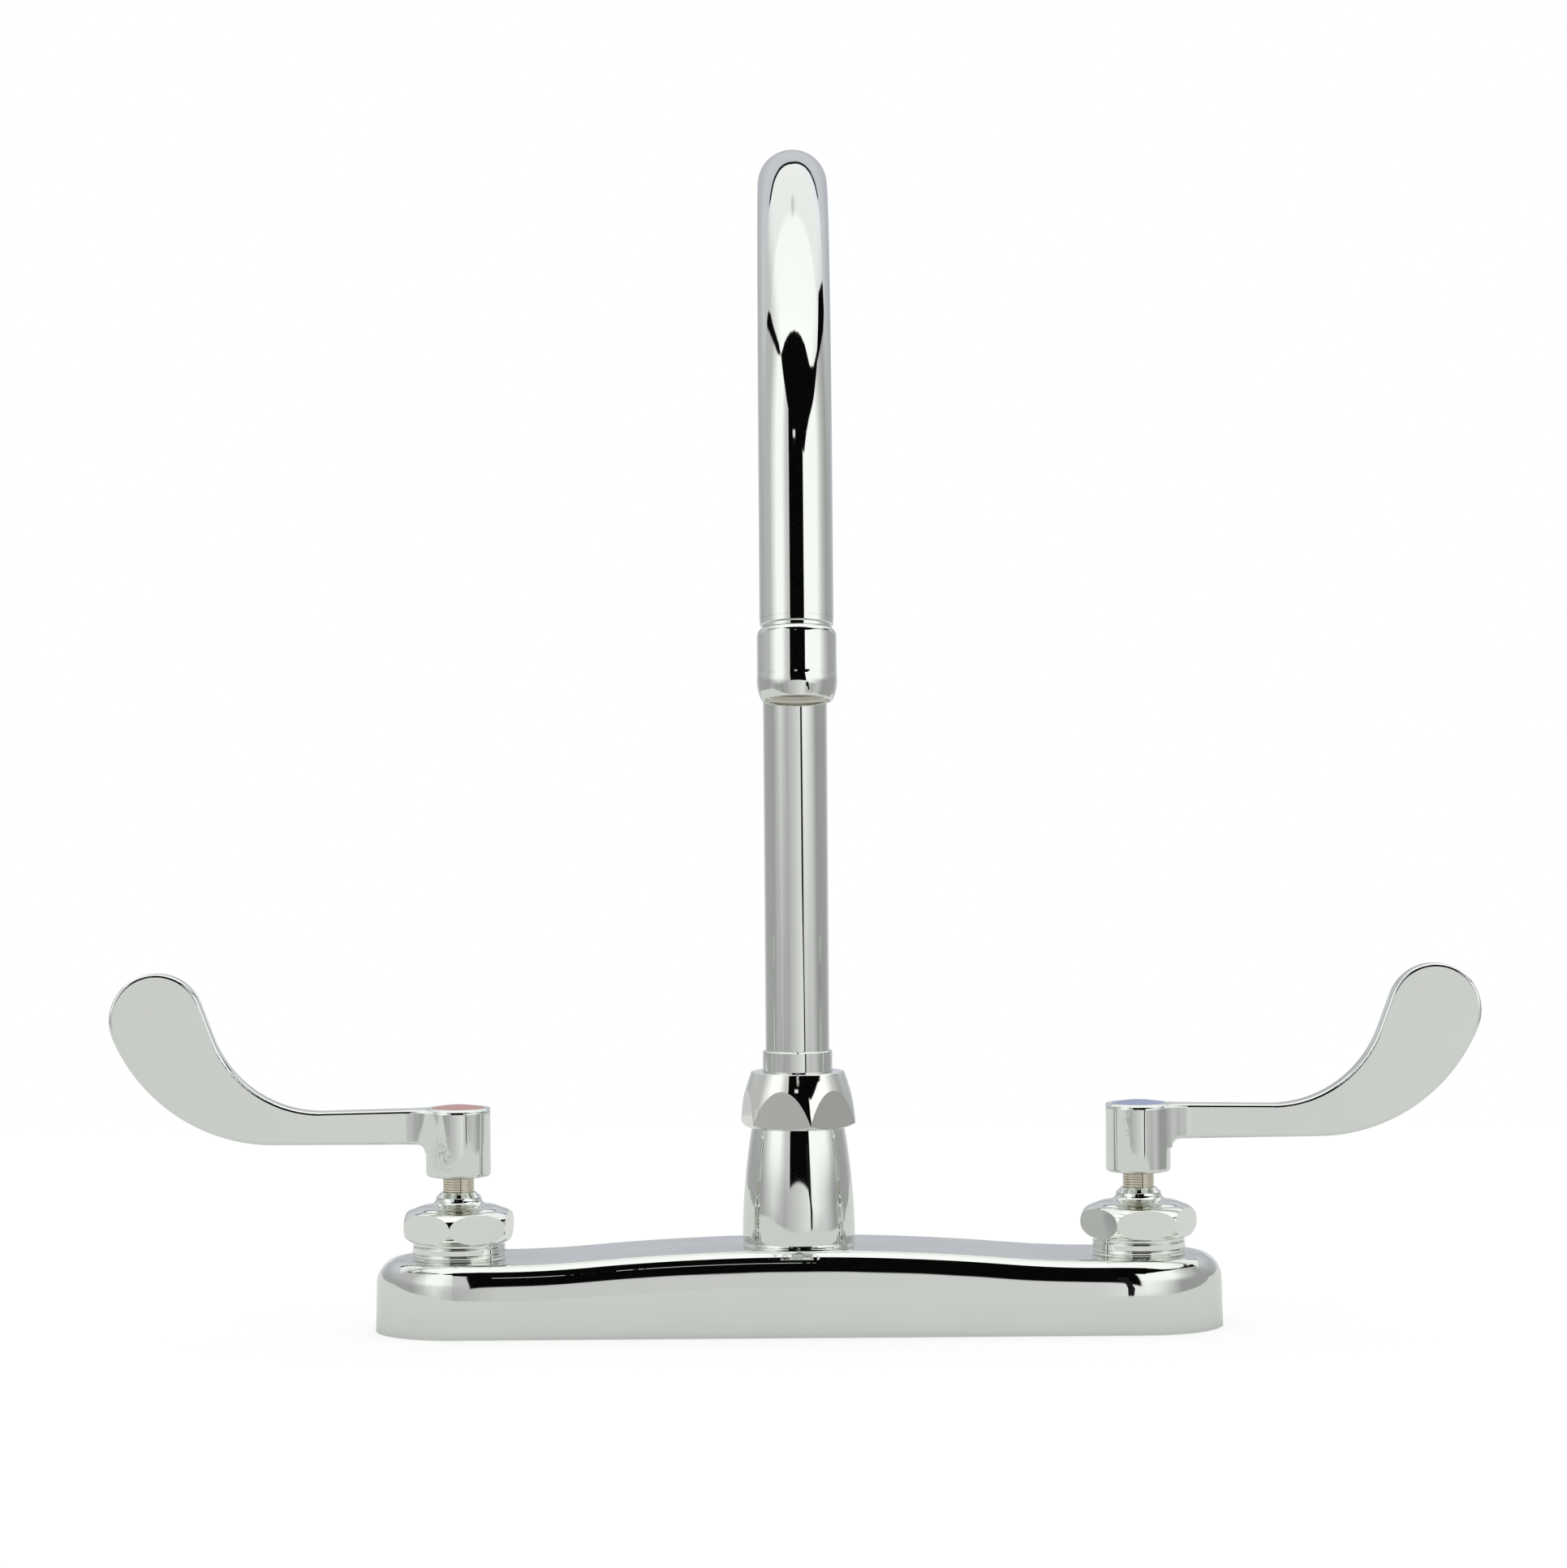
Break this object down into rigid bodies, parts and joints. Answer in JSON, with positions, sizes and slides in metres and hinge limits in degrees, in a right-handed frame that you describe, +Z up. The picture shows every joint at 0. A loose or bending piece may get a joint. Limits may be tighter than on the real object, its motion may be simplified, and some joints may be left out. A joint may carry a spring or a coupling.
{
  "type": "deck-mounted faucet",
  "caption": "Deck-mounted widespread faucet with a swivelling gooseneck spout, wrist blade handles and a long low base.",
  "frame": {"origin": "centre of the base's underside, on the spout's swivel axis, in the plane of the deck", "axes": "+Z up, +X to the user's right, -Y towards the user"},
  "size_m": [0.4107, 0.2384, 0.3905],
  "materials": {
    "chrome_casting": "polished",
    "chrome_nut": "polished",
    "chrome_tube": "polished",
    "chrome_handle": "polished",
    "brass": "machined",
    "stem_brass": "nickel tinted, splined",
    "steel": "zinc plated",
    "rubber": "matte",
    "ceramic": "lapped ceramic",
    "nylon": "natural",
    "red_plastic": "satin",
    "blue_plastic": "satin",
    "screen": "fine mesh"
  },
  "bodies": {
    "base": {"base_casting": "chrome_casting", "hot_shank": "brass", "cold_shank": "brass", "hot_deck_washer": "steel", "cold_deck_washer": "steel", "hot_locknut": "brass", "cold_locknut": "brass", "hot_bonnet": "chrome_nut", "cold_bonnet": "chrome_nut", "hot_cartridge_body": "brass", "cold_cartridge_body": "brass", "hot_fixed_disc": "ceramic", "cold_fixed_disc": "ceramic", "hot_seat_seal": "rubber", "cold_seat_seal": "rubber", "spout_nut": "chrome_nut", "spout_bearing_washer": "nylon"},
    "hot_handle_set": {"hot_stem": "stem_brass", "hot_moving_disc": "ceramic", "hot_stem_oring": "rubber", "hot_stem_clip": "steel", "hot_handle": "chrome_handle", "hot_handle_screw": "steel", "hot_index_button": "red_plastic"},
    "cold_handle_set": {"cold_stem": "stem_brass", "cold_moving_disc": "ceramic", "cold_stem_oring": "rubber", "cold_stem_clip": "steel", "cold_handle": "chrome_handle", "cold_handle_screw": "steel", "cold_index_button": "blue_plastic"},
    "spout": {"spout_collar": "chrome_tube", "spout_lower_oring": "rubber", "spout_upper_oring": "rubber", "spout_tube": "chrome_tube", "outlet_adapter": "chrome_tube", "aerator_housing": "chrome_tube", "aerator_washer": "rubber", "aerator_insert": "nylon", "aerator_screen": "screen"}
  },
  "joints": [
    {"name": "hot_valve_turn", "type": "hinge", "parent": "base", "child": "hot_handle_set", "pos_m": [-0.1016, 0, 0.04], "axis": [0, 0, 1], "range_deg": [0, 90]},
    {"name": "cold_valve_turn", "type": "hinge", "parent": "base", "child": "cold_handle_set", "pos_m": [0.1016, 0, 0.04], "axis": [0, 0, 1], "range_deg": [-90, 0]},
    {"name": "spout_swivel", "type": "hinge", "parent": "base", "child": "spout", "pos_m": [0, 0, 0.07], "axis": [0, 0, 1], "continuous": true}
  ]
}
